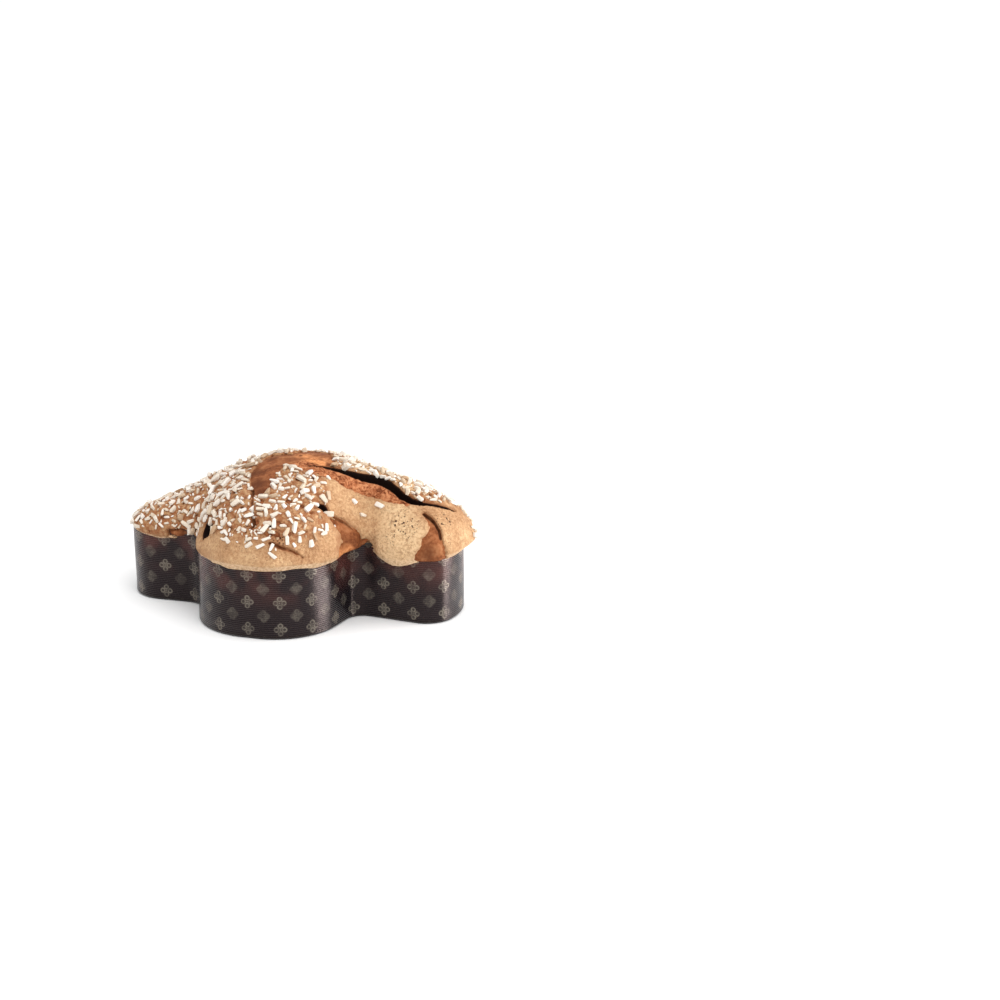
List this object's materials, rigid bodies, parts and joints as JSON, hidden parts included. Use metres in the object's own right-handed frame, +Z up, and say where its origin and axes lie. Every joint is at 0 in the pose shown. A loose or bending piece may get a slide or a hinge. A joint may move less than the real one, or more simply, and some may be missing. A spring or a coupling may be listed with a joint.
{
  "type": "colomba cake",
  "caption": "Dove-shaped Easter cake with a cracked almond glaze and white sugar nibs, standing in its low dark paper baking case.",
  "frame": {"origin": "on the ground under the top of the dome, in the middle of the whole outline", "axes": "+X along the body from the head to the tail, +Y across to the far wing, +Z up"},
  "size_m": [0.3067, 0.2286, 0.1311],
  "materials": {
    "crust": "satin",
    "almond_glaze": "matte",
    "sugar": "matte",
    "case_paper": "satin"
  },
  "bodies": {
    "root": {"cake": "crust", "paper_case": "case_paper"}
  },
  "joints": []
}
